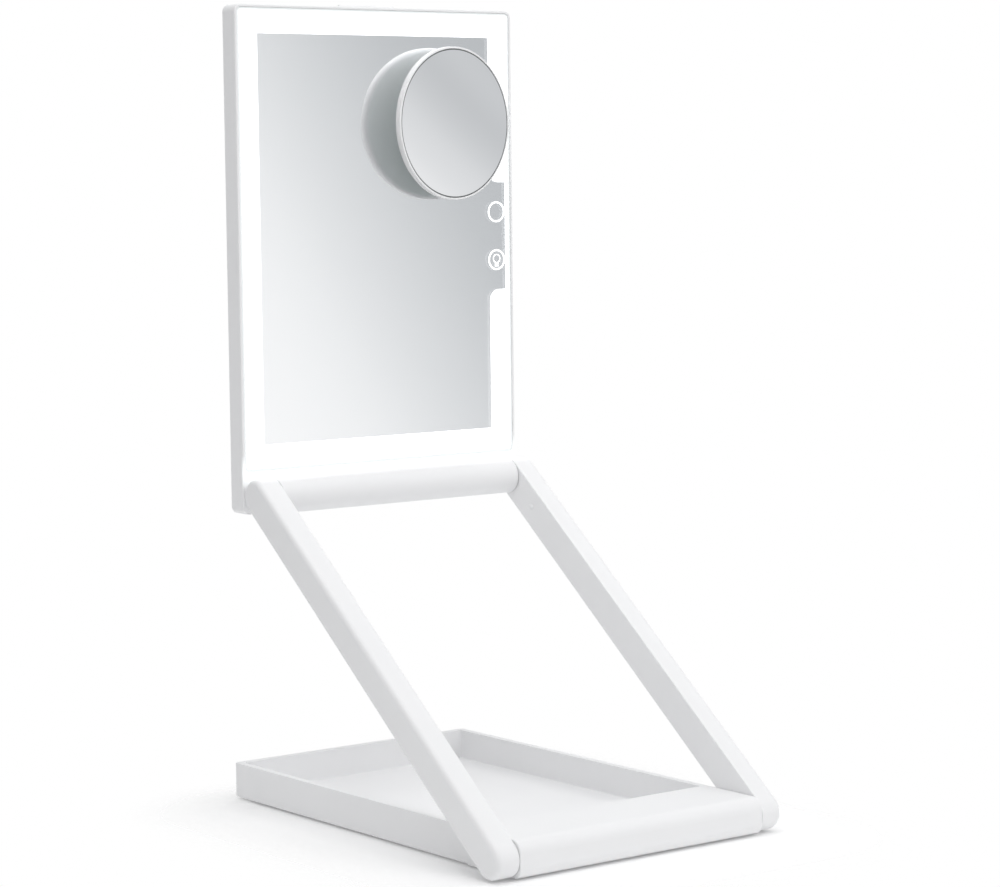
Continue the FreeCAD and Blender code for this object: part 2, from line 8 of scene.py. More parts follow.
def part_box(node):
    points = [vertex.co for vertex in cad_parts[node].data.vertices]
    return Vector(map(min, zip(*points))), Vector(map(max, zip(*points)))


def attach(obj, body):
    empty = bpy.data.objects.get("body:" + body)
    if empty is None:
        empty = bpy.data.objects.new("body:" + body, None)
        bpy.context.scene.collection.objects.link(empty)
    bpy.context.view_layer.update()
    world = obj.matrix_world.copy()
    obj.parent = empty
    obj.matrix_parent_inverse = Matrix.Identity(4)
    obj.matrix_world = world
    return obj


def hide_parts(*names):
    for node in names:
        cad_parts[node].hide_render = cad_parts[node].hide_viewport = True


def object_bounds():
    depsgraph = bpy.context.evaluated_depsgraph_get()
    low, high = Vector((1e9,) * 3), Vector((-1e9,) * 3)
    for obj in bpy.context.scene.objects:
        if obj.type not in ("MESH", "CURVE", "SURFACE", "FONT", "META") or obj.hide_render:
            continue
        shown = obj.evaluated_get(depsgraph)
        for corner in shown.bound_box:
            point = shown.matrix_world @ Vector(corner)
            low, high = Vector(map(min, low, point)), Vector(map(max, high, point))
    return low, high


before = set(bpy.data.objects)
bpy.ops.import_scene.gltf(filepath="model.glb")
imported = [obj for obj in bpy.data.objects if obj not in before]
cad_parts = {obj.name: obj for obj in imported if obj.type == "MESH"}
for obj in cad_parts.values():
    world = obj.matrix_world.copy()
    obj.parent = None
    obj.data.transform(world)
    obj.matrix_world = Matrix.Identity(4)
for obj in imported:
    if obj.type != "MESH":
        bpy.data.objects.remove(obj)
CAD_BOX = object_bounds()

bl_info = {
    "name": "Folding Makeup Mirror",
    "version": (1, 0, 0),
    "blender": (4, 5, 0),
    "location": "3D View > Sidebar > Makeup Mirror",
    "description": "Dresses a folding lit mirror with its finishes, its glass and a studio",
    "category": "Object",
}

MM = 0.001
UP = Vector((0.0, 0.0, 1.0))
BLACK = (0.0, 0.0, 0.0, 1.0)
WHITE = (1.0, 1.0, 1.0, 1.0)

# CAD nodes that share a finish
SHELL_NODES = (
    "base_tray", "base_bottom_plate", "left_arm", "right_arm", "head_rear_cover",
    "hinge_barrel", "magnet_holder",
)
METAL_NODES = (
    "counterweight", "lower_pins", "upper_pins", "base_plate_screws", "barrel_screws",
    "cover_screws", "steel_catch_plate", "usb_socket", "magnet",
)
BOARD_NODES = ("led_strips", "touch_board", "control_board")

# Finishes other than the shell's white: two colours that mottle into each other, the roughness
# of the smoothest and the roughest spots, the scales of the grain and the mottle, and the bump
FINISHES = {
    "bearing_plastic": dict(
        colour=(0.75, 0.75, 0.73), shade=(0.71, 0.71, 0.69), smoothest=0.28, roughest=0.36,
        grain_scale=900.0, mottle_scale=60.0, bump=0.1),
    "foot_rubber": dict(
        colour=(0.42, 0.42, 0.43), shade=(0.36, 0.36, 0.37), smoothest=0.72, roughest=0.88,
        grain_scale=1600.0, mottle_scale=120.0, bump=0.5),
    "plated_steel": dict(
        colour=(0.66, 0.67, 0.69), shade=(0.58, 0.59, 0.61), smoothest=0.24, roughest=0.42,
        grain_scale=1200.0, mottle_scale=140.0, bump=0.15, metallic=1.0),
    "white_board": dict(
        colour=(0.82, 0.85, 0.83), shade=(0.74, 0.79, 0.76), smoothest=0.3, roughest=0.45,
        grain_scale=700.0, mottle_scale=90.0, bump=0.1),
    "reflector_white": dict(
        colour=(0.9, 0.9, 0.9), shade=(0.87, 0.87, 0.87), smoothest=0.5, roughest=0.65,
        grain_scale=1500.0, mottle_scale=40.0, bump=0.1),
    "chip_phosphor": dict(
        colour=(0.95, 0.86, 0.42), shade=(0.92, 0.8, 0.34), smoothest=0.2, roughest=0.3,
        grain_scale=3000.0, mottle_scale=300.0, bump=0.1),
    "battery_foil": dict(
        colour=(0.6, 0.62, 0.65), shade=(0.5, 0.52, 0.56), smoothest=0.3, roughest=0.5,
        grain_scale=500.0, mottle_scale=70.0, bump=0.4, metallic=0.6),
    "sealing_bead": dict(
        colour=(0.93, 0.95, 0.95), shade=(0.9, 0.92, 0.92), smoothest=0.5, roughest=0.7,
        grain_scale=1500.0, mottle_scale=90.0, bump=0.2),
    # Dark of the magnifier glass's cut edge, partly painted shade of the gap at its rim
    "glass_edge_and_gap_shade": dict(
        colour=(0.17, 0.18, 0.18), shade=(0.11, 0.115, 0.12), smoothest=0.15, roughest=0.3,
        grain_scale=1800.0, mottle_scale=200.0, bump=0.2),
}

# The shell's white, on either side of its middle roughness
SHELL_SMOOTHER = 0.06
SHELL_ROUGHER = 0.08
SHELL_MOTTLE_SCALE = 24.0
SHELL_BUMP = 0.18
GRAIN_DEPTH = 0.05 * MM

# Share of the painted glow of the border's light in the head's frame, from below the glass's lower edge to
# above it
PAINTED_CHIN_GLOW = ((0.0, 0.0), (0.4, 1.0), (0.55, 1.0), (1.0, 0.0))

# How squarely a face of the magnifier's shell looks back where its painted glow starts, and where it is full
BACK_GLOW_START = 0.75
BACK_GLOW_FULL = 0.97

# Trace of haze on the silvering and on the clear pane
SILVER_MOTTLE_SCALE = 9.0
SILVER_DULLING = (0.006, 0.004, 0.002)
SILVER_HAZE = 0.012
PANE_MOTTLE_SCALE = 14.0
PANE_DULLING = (0.004, 0.0, 0.002)
PANE_HAZE = 0.006
GLASS_INDEX = 1.5

# Slightly uneven light of the frosted pieces
LIT_PATCH_SCALE = 60.0
LIT_PATCH_TINT = (0.97, 0.985, 0.99)
LIT_ROUGHNESS = 0.25
FROST_WHITE = 0.9


# Sizes and colours that a user would change

class ShellSettings(bpy.types.PropertyGroup):
    """Finish of the moulded white pieces"""
    colour: bpy.props.FloatVectorProperty(
        name="Shell colour", description="Moulded white of the tray, arms and head",
        subtype="COLOR", size=3, min=0, max=1, default=(0.93, 0.93, 0.935))
    shade: bpy.props.FloatVectorProperty(
        name="Shell shade", description="Slightly darker white of the moulding's broad mottle",
        subtype="COLOR", size=3, min=0, max=1, default=(0.905, 0.907, 0.915))
    grain: bpy.props.FloatProperty(
        name="Grain size", description="Size of one dimple of the moulded surface",
        unit="LENGTH", default=0.45 * MM)
    roughness: bpy.props.FloatProperty(
        name="Shell roughness", description="Middle roughness of the moulded surface",
        subtype="FACTOR", min=0, max=1, default=0.42)


class GlassSettings(bpy.types.PropertyGroup):
    """Glass, silvering and lit border, and the light they pass on, painted as a glow on the frame, the
    glass's edge and the magnifier's back
    """
    silver: bpy.props.FloatVectorProperty(
        name="Silver colour", description="Tint of the silvering behind the glass",
        subtype="COLOR", size=3, min=0, max=1, default=(0.975, 0.975, 0.98))
    tint: bpy.props.FloatVectorProperty(
        name="Glass tint", description="Faint cool tint of the clear pane",
        subtype="COLOR", size=3, min=0, max=1, default=(0.992, 0.994, 0.996))
    glow: bpy.props.FloatVectorProperty(
        name="Border light", description="Colour of the lit border and the touch marks",
        subtype="COLOR", size=3, min=0, max=1, default=(1.0, 1.0, 1.0))
    glow_strength: bpy.props.FloatProperty(
        name="Border strength", description="Brightness of the lit border", min=0, default=1.7)
    mark_strength: bpy.props.FloatProperty(
        name="Mark strength", description="Brightness of the touch marks", min=0, default=1.3)
    # Painted glow of the border's light on the head's frame, along the glass's lower edge
    painted_frame_glow: bpy.props.FloatVectorProperty(
        name="Leak colour", description="Colour of the border's light inside the head's frame",
        subtype="COLOR", size=3, min=0, max=1, default=(0.92, 1.0, 1.0))
    painted_frame_glow_strength: bpy.props.FloatProperty(
        name="Leak strength", description="Brightness of the light inside the head's frame",
        min=0, default=0.4)
    painted_frame_glow_depth: bpy.props.FloatProperty(
        name="Leak depth", description="How far back the light in the frame reaches",
        unit="LENGTH", default=1.6 * MM)
    painted_frame_glow_drop: bpy.props.FloatProperty(
        name="Leak drop", description="How far below the glass the light in the frame reaches",
        unit="LENGTH", default=9.0 * MM)
    # Painted glow on the back of the magnifier's shell, standing in for the border's light that falls there
    through: bpy.props.FloatVectorProperty(
        name="Shell light", description="Colour of the light that comes through the magnifier's shell",
        subtype="COLOR", size=3, min=0, max=1, default=(0.82, 1.0, 0.97))
    painted_back_glow_strength: bpy.props.FloatProperty(
        name="Shell light strength", description="Brightness of the light through the magnifier's shell",
        min=0, default=0.09)
    arris_width: bpy.props.FloatProperty(
        name="Glass edge", description="Width of the tinted edge of the glass that catches the light",
        unit="LENGTH", default=1.3 * MM)
    arris: bpy.props.FloatVectorProperty(
        name="Glass edge colour", description="Blue-green of the edge of the glass",
        subtype="COLOR", size=3, min=0, max=1, default=(0.90, 1.0, 1.0))
    # Brightness of the edge's painted glow of the border's light
    arris_strength: bpy.props.FloatProperty(
        name="Glass edge strength", description="Brightness of the edge of the glass",
        min=0, default=0.3)
    band_end_round: bpy.props.FloatProperty(
        name="Band end", description="Rounding of the lit border's ends beside the touch zones",
        unit="LENGTH", default=6.0 * MM)
    pane_corner: bpy.props.FloatProperty(
        name="Pane corner", description="Corner radius of the glass", unit="LENGTH", default=2.5 * MM)


class TouchSettings(bpy.types.PropertyGroup):
    """Places and sizes of the touch marks"""
    ring_diameter: bpy.props.FloatProperty(
        name="Ring", description="Diameter of a touch ring at the middle of its line",
        unit="LENGTH", default=10.7 * MM)
    stroke: bpy.props.FloatProperty(
        name="Line", description="Width of the lines of the touch rings",
        unit="LENGTH", default=0.95 * MM)
    pitch: bpy.props.FloatProperty(
        name="Spacing", description="Distance between the two touch rings",
        unit="LENGTH", default=26.9 * MM)
    from_edge: bpy.props.FloatProperty(
        name="From edge", description="Distance of the rings from the glass's right edge",
        unit="LENGTH", default=8.7 * MM)


class StageSettings(bpy.types.PropertyGroup):
    """Camera, lamps and floor"""
    camera_place: bpy.props.FloatVectorProperty(
        name="Camera", description="Place of the camera", subtype="XYZ", unit="LENGTH", size=3,
        default=(-0.95712, -1.26768, 0.34380))
    camera_turn: bpy.props.FloatVectorProperty(
        name="Camera turn", description="Heading, pitch and roll of the camera", unit="ROTATION", size=3,
        default=(math.radians(37.337), math.radians(-5.2), math.radians(-0.641)))
    lens: bpy.props.FloatProperty(
        name="Lens", description="Focal length on a sensor 36 mm wide", unit="CAMERA", default=109.2)
    ambient: bpy.props.FloatProperty(
        name="Ambient", description="Strength of the even light all round", min=0, default=0.48)
    key_power: bpy.props.FloatProperty(
        name="Key", description="Power of the lamp at the front right", unit="POWER", default=4.2)
    top_power: bpy.props.FloatProperty(
        name="Top", description="Power of the lamp above", unit="POWER", default=11.0)
    back_power: bpy.props.FloatProperty(
        name="Back", description="Power of the lamp behind on the right", unit="POWER", default=1.9)
    floor_lift: bpy.props.FloatProperty(
        name="Floor lift", description="Extra white of the floor as the camera sees it",
        min=0, default=0.07)
    floor_bounce: bpy.props.FloatProperty(
        name="Floor bounce", description="Extra light that the table throws back up",
        min=0, default=0.05)


# Shared shader helpers

def feed(tree, socket, value):
    """Links another socket to an input, or sets the input to a plain number or colour."""
    if isinstance(value, bpy.types.NodeSocket):
        tree.links.new(value, socket)
    else:
        socket.default_value = value


def add_node(tree, kind, **inputs):
    """A node with some of its inputs fed by name."""
    node = tree.nodes.new(kind)
    for name, value in inputs.items():
        feed(tree, node.inputs[name.replace("_", " ")], value)
    return node


def combine(tree, operation, first, second=0.0):
    """Result of a Math node; an operation on one value leaves the second unused."""
    node = tree.nodes.new("ShaderNodeMath")
    node.operation = operation
    feed(tree, node.inputs[0], first)
    feed(tree, node.inputs[1], second)
    return node.outputs["Value"]


def map_range(tree, value, low=0.0, high=1.0, to_low=0.0, to_high=1.0, eased=False):
    """Maps one range of a value onto another, with soft ends where eased."""
    node = add_node(tree, "ShaderNodeMapRange", Value=value, From_Min=low, From_Max=high,
                    To_Min=to_low, To_Max=to_high)
    if eased:
        node.interpolation_type = "SMOOTHSTEP"
    return node.outputs["Result"]


def mix_colours(tree, factor, first, second):
    """Mix of two colours. A Mix node's colour sockets share their names with its number sockets."""
    first_colour, second_colour, result_colour = 6, 7, 2
    node = add_node(tree, "ShaderNodeMix", Factor=factor)
    node.data_type = "RGBA"
    feed(tree, node.inputs[first_colour], first)
    feed(tree, node.inputs[second_colour], second)
    return node.outputs[result_colour]


def colour_ramp(tree, value, stops, interpolation="LINEAR"):
    """Colour of a value between stops given as (position, colour), from low to high."""
    node = add_node(tree, "ShaderNodeValToRGB", Fac=value)
    ramp = node.color_ramp
    ramp.interpolation = interpolation
    ready = len(ramp.elements)
    for index, (position, colour) in enumerate(stops):
        stop = ramp.elements[index] if index < ready else ramp.elements.new(position)
        stop.position = position
        stop.color = colour
    return node.outputs["Color"]


def axis_parts(tree, coordinates):
    """X, Y and Z outputs of one kind of texture coordinates."""
    place = tree.nodes.new("ShaderNodeTexCoord")
    return add_node(tree, "ShaderNodeSeparateXYZ", Vector=place.outputs[coordinates]).outputs


def new_group(name, inputs, outputs):
    """Empty shader node group with its sockets, and its input and output nodes."""
    group = bpy.data.node_groups.new(name, "ShaderNodeTree")
    for label, kind, default in inputs:
        socket = group.interface.new_socket(name=label, in_out="INPUT", socket_type=kind)
        socket.default_value = default
    for label, kind in outputs:
        group.interface.new_socket(name=label, in_out="OUTPUT", socket_type=kind)
    return group, group.nodes.new("NodeGroupInput"), group.nodes.new("NodeGroupOutput")


def moulded_surface_group():
    """Fine dimples, a broad mottle and uneven gloss of a moulded or cast surface."""
    name = "moulded_surface"
    if name in bpy.data.node_groups:
        return bpy.data.node_groups[name]
    group, given, result = new_group(
        name,
        [("Grain Scale", "NodeSocketFloat", 2200.0), ("Mottle Scale", "NodeSocketFloat", 26.0),
         ("Colour", "NodeSocketColor", (0.8, 0.8, 0.8, 1)), ("Shade", "NodeSocketColor", (0.7, 0.7, 0.7, 1)),
         ("Smoothest", "NodeSocketFloat", 0.35), ("Roughest", "NodeSocketFloat", 0.5)],
        [("Colour", "NodeSocketColor"), ("Roughness", "NodeSocketFloat"), ("Height", "NodeSocketFloat")])
    place = group.nodes.new("ShaderNodeTexCoord").outputs["Object"]
    dimples = add_node(group, "ShaderNodeTexNoise", Vector=place, Scale=given.outputs["Grain Scale"],
                       Detail=2.0, Roughness=0.55).outputs["Fac"]
    mottle = add_node(group, "ShaderNodeTexNoise", Vector=place, Scale=given.outputs["Mottle Scale"],
                      Detail=3.0, Roughness=0.6).outputs["Fac"]
    colour = mix_colours(group, mottle, given.outputs["Colour"], given.outputs["Shade"])
    gloss = map_range(group, mottle, to_low=given.outputs["Smoothest"], to_high=given.outputs["Roughest"])
    group.links.new(colour, result.inputs["Colour"])
    group.links.new(gloss, result.inputs["Roughness"])
    group.links.new(dimples, result.inputs["Height"])
    return group


# Materials

def new_material(name):
    """New node material, with its tree and its shader."""
    material = bpy.data.materials.new(name)
    material.use_nodes = True
    return material, material.node_tree, material.node_tree.nodes["Principled BSDF"]


def place_effect(tree, shader, **values):
    """Puts the shared moulded effect in a material, where it sets the colour and the roughness."""
    effect = tree.nodes.new("ShaderNodeGroup")
    effect.node_tree = moulded_surface_group()
    for name, value in values.items():
        feed(tree, effect.inputs[name.replace("_", " ")], value)
    tree.links.new(effect.outputs["Colour"], shader.inputs["Base Color"])
    tree.links.new(effect.outputs["Roughness"], shader.inputs["Roughness"])
    return effect


def paint_glow(material, mask, colour, strength):
    """Paints a faint glow into a material where a mask is white."""
    tree = material.node_tree
    shader = tree.nodes["Principled BSDF"]
    tree.links.new(mix_colours(tree, mask, BLACK, (*colour, 1)), shader.inputs["Emission Color"])
    shader.inputs["Emission Strength"].default_value = strength


def moulded_material(name, colour, shade, smoothest, roughest, grain_scale, mottle_scale, bump,
                     metallic=0.0):
    """Moulded, cast or plated surface made by the shared effect."""
    material, tree, shader = new_material(name)
    effect = place_effect(
        tree, shader, Grain_Scale=grain_scale, Mottle_Scale=mottle_scale,
        Colour=(*colour, 1), Shade=(*shade, 1), Smoothest=smoothest, Roughest=roughest)
    relief = add_node(tree, "ShaderNodeBump", Strength=bump, Distance=GRAIN_DEPTH,
                      Height=effect.outputs["Height"])
    tree.links.new(relief.outputs["Normal"], shader.inputs["Normal"])
    shader.inputs["Metallic"].default_value = metallic
    return material


def finish_material(name):
    """One of the named finishes."""
    return moulded_material(name, **FINISHES[name])


def shell_material(name):
    """The moulded white of the outside pieces."""
    shell = bpy.context.scene.mirror_shell
    return moulded_material(
        name, shell.colour, shell.shade,
        smoothest=shell.roughness - SHELL_SMOOTHER, roughest=shell.roughness + SHELL_ROUGHER,
        grain_scale=1.0 / shell.grain, mottle_scale=SHELL_MOTTLE_SCALE, bump=SHELL_BUMP)


def frame_material():
    """The moulded white of the head's frame, with a painted glow of the border's light on its chin."""
    material = shell_material("frame_white_painted_glow")
    tree = material.node_tree
    glass = bpy.context.scene.mirror_glass
    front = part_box("head_frame")[0].y
    glass_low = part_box("mirror_glass")[0].z
    place = axis_parts(tree, "Object")
    depth = map_range(tree, place["Y"], front, front + glass.painted_frame_glow_depth, 1.0, 0.0, eased=True)
    height = map_range(tree, place["Z"], glass_low - glass.painted_frame_glow_drop, glass_low + glass.painted_frame_glow_drop)
    chin = colour_ramp(tree, height, [(position, (tone, tone, tone, 1)) for position, tone in PAINTED_CHIN_GLOW])
    paint_glow(material, combine(tree, "MULTIPLY", depth, chin), glass.painted_frame_glow, glass.painted_frame_glow_strength)
    return material


def housing_material():
    """The moulded white of the magnifier's thin shell, with a painted glow on the faces that look back, for
    the border's light that falls there.
    """
    material = shell_material("shell_white_painted_back_glow")
    glass = bpy.context.scene.mirror_glass
    facing = axis_parts(material.node_tree, "Normal")
    back_glow_mask = map_range(material.node_tree, facing["Y"], BACK_GLOW_START, BACK_GLOW_FULL)
    paint_glow(material, back_glow_mask, glass.through, glass.painted_back_glow_strength)
    return material


def dulled(colour, drop):
    """A colour lowered a little in each channel, as a socket takes it."""
    return (colour[0] - drop[0], colour[1] - drop[1], colour[2] - drop[2], 1)


def silver_material():
    """Silvering behind clear glass: a clean mirror with a trace of haze."""
    material, tree, shader = new_material("silvered_glass")
    silver = bpy.context.scene.mirror_glass.silver
    place_effect(
        tree, shader, Mottle_Scale=SILVER_MOTTLE_SCALE, Colour=(*silver, 1),
        Shade=dulled(silver, SILVER_DULLING), Smoothest=0.0, Roughest=SILVER_HAZE)
    shader.inputs["Metallic"].default_value = 1.0
    return material


def pane_material():
    """Clear polished glass with a faint cool tint and the faintest haze."""
    material, tree, shader = new_material("clear_pane")
    tint = bpy.context.scene.mirror_glass.tint
    place_effect(
        tree, shader, Mottle_Scale=PANE_MOTTLE_SCALE, Colour=(*tint, 1),
        Shade=dulled(tint, PANE_DULLING), Smoothest=0.0, Roughest=PANE_HAZE)
    shader.inputs["Transmission Weight"].default_value = 1.0
    shader.inputs["IOR"].default_value = GLASS_INDEX
    return material


def lit_material(name, colour, strength, base=FROST_WHITE):
    """Frosted surface lit from behind, a touch uneven."""
    material, tree, shader = new_material(name)
    place = tree.nodes.new("ShaderNodeTexCoord")
    patches = add_node(tree, "ShaderNodeTexNoise", Vector=place.outputs["Object"],
                       Scale=LIT_PATCH_SCALE, Detail=1.0)
    dimmer = [channel * share for channel, share in zip(colour, LIT_PATCH_TINT)]
    light = mix_colours(tree, patches.outputs["Fac"], (*colour, 1), (*dimmer, 1))
    tree.links.new(light, shader.inputs["Emission Color"])
    shader.inputs["Emission Strength"].default_value = strength
    shader.inputs["Base Color"].default_value = (base, base, base, 1)
    shader.inputs["Roughness"].default_value = LIT_ROUGHNESS
    return material


# Shared mesh helpers

def paint(node_names, material):
    """Gives CAD nodes one finish."""
    for name in node_names:
        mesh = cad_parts[name].data
        mesh.materials.clear()
        mesh.materials.append(material)


def add_piece(name, mesh, material, body):
    """Puts a finished mesh in the scene, riding on a body."""
    piece = bpy.data.objects.new(name, mesh)
    bpy.context.scene.collection.objects.link(piece)
    mesh.materials.clear()
    mesh.materials.append(material)
    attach(piece, body)
    return piece


def rounded_outline(corners, steps=8):
    """Closed outline through (x, z, radius) corners, each rounded by an arc."""
    points = []
    count = len(corners)
    for index, (x, z, radius) in enumerate(corners):
        here = Vector((x, z))
        before = (Vector(corners[index - 1][:2]) - here).normalized()
        after = (Vector(corners[(index + 1) % count][:2]) - here).normalized()
        if radius <= 0:
            points.append(here)
            continue
        half = before.angle(after) / 2.0
        centre = here + (before + after).normalized() * (radius / math.sin(half))
        start = here + before * (radius / math.tan(half)) - centre
        end = here + after * (radius / math.tan(half)) - centre
        sweep = start.angle_signed(end)
        for step in range(steps + 1):
            points.append(centre + Matrix.Rotation(-sweep * step / steps, 2) @ start)
    return points


def circle_outline(x, z, radius, steps=64):
    """Closed round outline."""
    turns = [2.0 * math.pi * step / steps for step in range(steps)]
    return [Vector((x + radius * math.cos(turn), z + radius * math.sin(turn))) for turn in turns]


def plate_mesh(name, outlines, front, back, arris=0.0):
    """Upright plate facing -Y. Outlines inside another one are holes."""
    curve = bpy.data.curves.new(name + "_shape", "CURVE")
    curve.dimensions = "2D"
    curve.fill_mode = "BOTH"
    curve.extrude = (back - front) / 2.0 - arris
    curve.bevel_depth = arris
    curve.bevel_resolution = 1
    curve.offset = -arris
    for outline in outlines:
        spline = curve.splines.new("POLY")
        spline.points.add(len(outline) - 1)
        for point, place in zip(spline.points, outline):
            point.co = (place[0], place[1], 0.0, 1.0)
        spline.use_cyclic_u = True
    shape = bpy.data.objects.new(name + "_shape", curve)
    bpy.context.scene.collection.objects.link(shape)
    depsgraph = bpy.context.evaluated_depsgraph_get()
    mesh = bpy.data.meshes.new_from_object(shape.evaluated_get(depsgraph))
    bpy.data.objects.remove(shape)
    bpy.data.curves.remove(curve)
    stand = Matrix.Rotation(math.radians(90.0), 4, "X")
    mesh.transform(Matrix.Translation((0.0, (front + back) / 2.0, 0.0)) @ stand)
    mesh.name = name
    return mesh


def head_plate(name, outlines, front, back, material, arris=0.0):
    """An upright plate as a piece that rides on the head."""
    return add_piece(name, plate_mesh(name, outlines, front, back, arris), material, "mirror_head")


def lathe_mesh(name, profile, steps=128):
    """Closed profile of (radius, forward) points turned about the forward (-Y) axis."""
    shape = bmesh.new()
    turns = [2.0 * math.pi * step / steps for step in range(steps)]
    rings = []
    for radius, forward in profile:
        if radius <= 0:
            rings.append([shape.verts.new((0.0, -forward, 0.0))])
            continue
        places = [(radius * math.cos(turn), -forward, radius * math.sin(turn)) for turn in turns]
        rings.append([shape.verts.new(place) for place in places])
    for first, second in zip(rings, rings[1:] + rings[:1]):
        for step in range(steps):
            following = (step + 1) % steps
            ends = [first[step % len(first)], first[following % len(first)]]
            ends += [second[following % len(second)], second[step % len(second)]]
            loop = list(dict.fromkeys(ends))
            if len(loop) > 2:
                shape.faces.new(loop)
    bmesh.ops.recalc_face_normals(shape, faces=shape.faces)
    mesh = bpy.data.meshes.new(name)
    shape.to_mesh(mesh)
    shape.free()
    return mesh


def smooth(mesh, degrees):
    """Smooth shading with sharp edges kept above an angle."""
    mesh.shade_smooth()
    mesh.set_sharp_from_angle(angle=math.radians(degrees))


# Places taken from the frame

def glass_places():
    """Edges and depths of the glass, its silvering and its lit border."""
    glass_low, glass_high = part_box("mirror_glass")
    silver_low, silver_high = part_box("silver_backing")
    board_low, board_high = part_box("touch_board")
    light_low, light_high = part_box("diffuser_frame")
    border = silver_low.x - glass_low.x
    tab_inset = silver_high.x - board_high.x
    return {
        "left": glass_low.x, "right": glass_high.x, "low": glass_low.z, "high": glass_high.z,
        "front": glass_low.y, "back": glass_high.y,
        "silver_front": silver_low.y, "silver_back": silver_high.y,
        "light_front": light_low.y, "light_back": light_high.y,
        "silver_left": silver_low.x, "silver_right": glass_high.x - border,
        "silver_low": silver_low.z, "silver_high": silver_high.z,
        "tab_right": silver_high.x, "tab_low": board_low.z - tab_inset, "tab_high": board_high.z + tab_inset,
    }


def pane_outline(at, inset, corner, slack=0.0):
    """The glass's outline moved in, with some slack more at the right and the top."""
    left, low = at["left"] + inset, at["low"] + inset
    right, high = at["right"] - inset - slack, at["high"] - inset - slack
    return rounded_outline([
        (left, low, corner), (right, low, corner), (right, high, corner), (left, high, corner)])


def silver_outline(at, bend):
    """Silvered area with the tab that carries the touch zones."""
    right = at["silver_right"]
    return rounded_outline([
        (at["silver_left"], at["silver_low"], 0), (right, at["silver_low"], 0),
        (right, at["tab_low"], bend), (at["tab_right"], at["tab_low"], 0),
        (at["tab_right"], at["tab_high"], 0), (right, at["tab_high"], bend),
        (right, at["silver_high"], 0), (at["silver_left"], at["silver_high"], 0)])


# Operators: one for each piece or group of like pieces, and one for the stage

class MIRROR_OT_shells(bpy.types.Operator):
    """Gives the moulded pieces, the bushes and the rubber pieces their finishes"""
    bl_idname = "makeup_mirror.shells"
    bl_label = "Shells"

    def execute(self, context):
        paint(SHELL_NODES, shell_material("moulded_white"))
        paint(("head_frame",), frame_material())
        paint(("magnifier_housing",), housing_material())
        paint(("lower_bushes", "upper_bushes"), finish_material("bearing_plastic"))
        paint(("base_feet", "magnet_pad"), finish_material("foot_rubber"))
        return {"FINISHED"}


class MIRROR_OT_inner_parts(bpy.types.Operator):
    """Gives the metal and the electronics inside their finishes"""
    bl_idname = "makeup_mirror.inner_parts"
    bl_label = "Inner parts"

    def execute(self, context):
        paint(METAL_NODES, finish_material("plated_steel"))
        paint(BOARD_NODES, finish_material("white_board"))
        paint(("reflector_plate",), finish_material("reflector_white"))
        paint(("led_chips",), finish_material("chip_phosphor"))
        paint(("battery",), finish_material("battery_foil"))
        return {"FINISHED"}


class MIRROR_OT_glass(bpy.types.Operator):
    """Builds the silvered glass, its lit border, its tinted edge with a painted glow, and its sealing bead
    """
    bl_idname = "makeup_mirror.glass"
    bl_label = "Glass"

    film_room = 0.15 * MM
    edge_round = 0.15 * MM
    edge_white = 0.75
    bead_width = 0.08 * MM
    bead_slack = 0.2 * MM
    bead_sunk = 0.02 * MM

    def execute(self, context):
        glass = context.scene.mirror_glass
        at = glass_places()
        silver = silver_outline(at, glass.band_end_round)
        seat = pane_outline(at, 0.0, glass.pane_corner)
        rim = pane_outline(at, self.bead_width, glass.pane_corner - self.bead_width, self.bead_slack)
        inner = pane_outline(at, glass.arris_width, glass.pane_corner - glass.arris_width)
        face = head_plate("mirror_face", [silver], at["silver_front"], at["silver_back"],
                          silver_material())
        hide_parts("silver_backing")
        frost = lit_material("lit_frost", glass.glow, glass.glow_strength)
        border = head_plate("lit_border", [inner, silver], at["light_front"], at["light_back"],
                            frost)
        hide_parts("diffuser_frame")
        pane = head_plate("clear_pane", [inner], at["front"], at["back"] - self.film_room,
                          pane_material())
        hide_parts("mirror_glass")
        pane.visible_diffuse = False
        pane.visible_shadow = False
        # The glass's tinted edge gets a painted glow of the border's light
        edge = lit_material("glass_edge_light", glass.arris, glass.arris_strength, self.edge_white)
        head_plate("glass_edge", [rim, inner], at["front"], at["back"], edge, self.edge_round)
        head_plate("glass_bead", [seat, rim], at["front"] + self.bead_sunk, at["back"],
                   finish_material("sealing_bead"))
        return {"FINISHED"}


